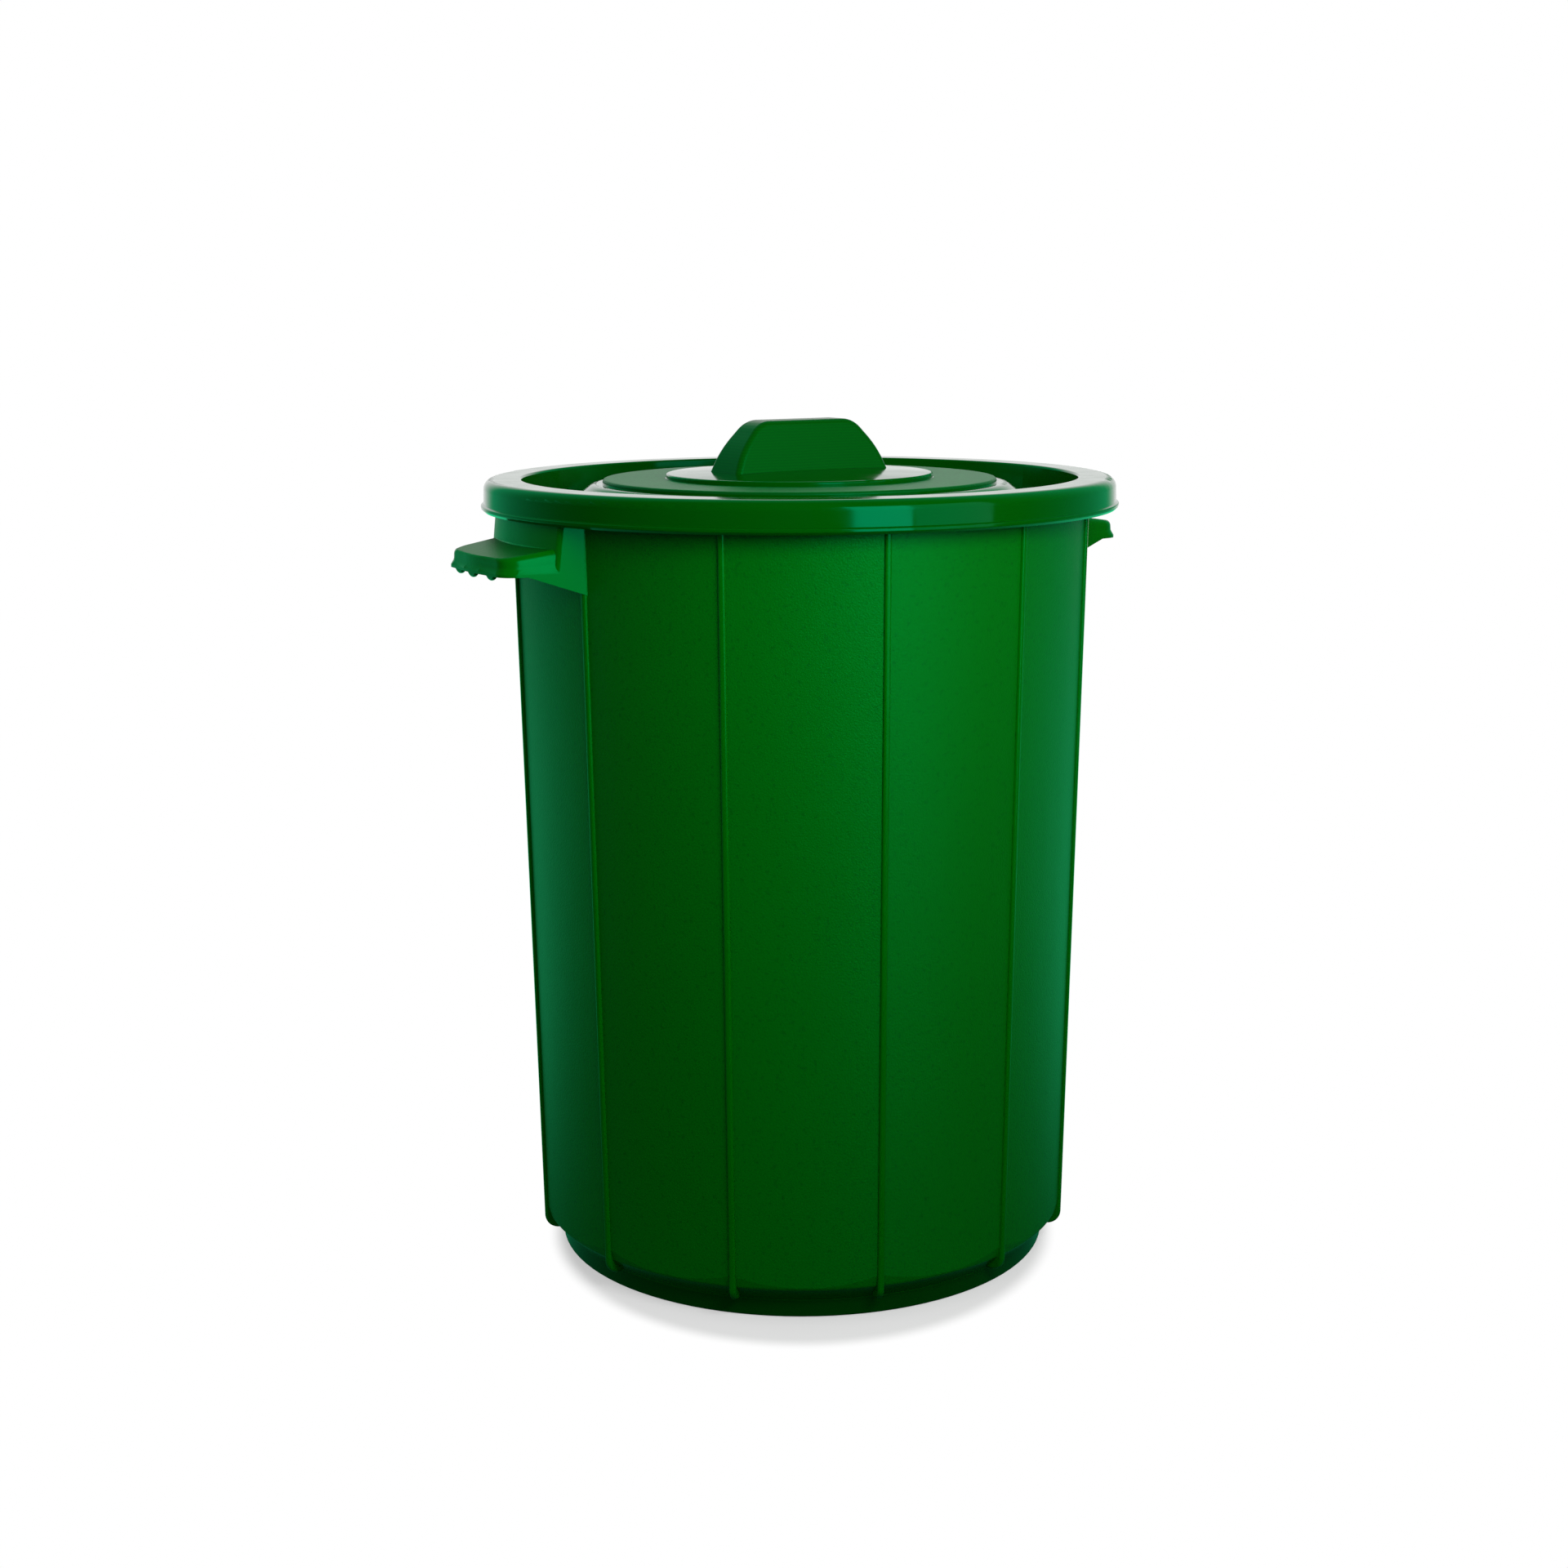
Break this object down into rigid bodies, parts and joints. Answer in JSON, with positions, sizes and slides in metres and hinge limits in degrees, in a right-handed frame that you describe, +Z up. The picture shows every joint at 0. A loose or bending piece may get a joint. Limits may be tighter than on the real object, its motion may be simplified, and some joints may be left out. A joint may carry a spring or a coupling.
{
  "type": "lidded dustbin",
  "caption": "Round plastic dustbin with ribbed tapered wall, moulded grab handles and a lift-off lid with a block grip.",
  "frame": {"origin": "centre of the foot ring's underside, on the floor", "axes": "+Z up along the bin's axis; the two handles point along +X and -X and the lid's grip runs along X"},
  "size_m": [0.4778, 0.4234, 0.5629],
  "materials": {
    "bin_plastic": "moulded polyolefin, spark-textured panels with smoother ribs, collar and gussets",
    "lid_plastic": "moulded polyolefin, polished rim, cone and disc with a spark-textured ring between",
    "grip_plastic": "moulded polyolefin, satin"
  },
  "bodies": {
    "bin": {"bin_body": "bin_plastic"},
    "lid": {"lid": "lid_plastic", "lid_grip": "grip_plastic"}
  },
  "joints": [
    {"name": "lid_lift", "type": "slide", "parent": "bin", "child": "lid", "axis": [0, 0, 1], "range_m": [0, 0.2]}
  ]
}
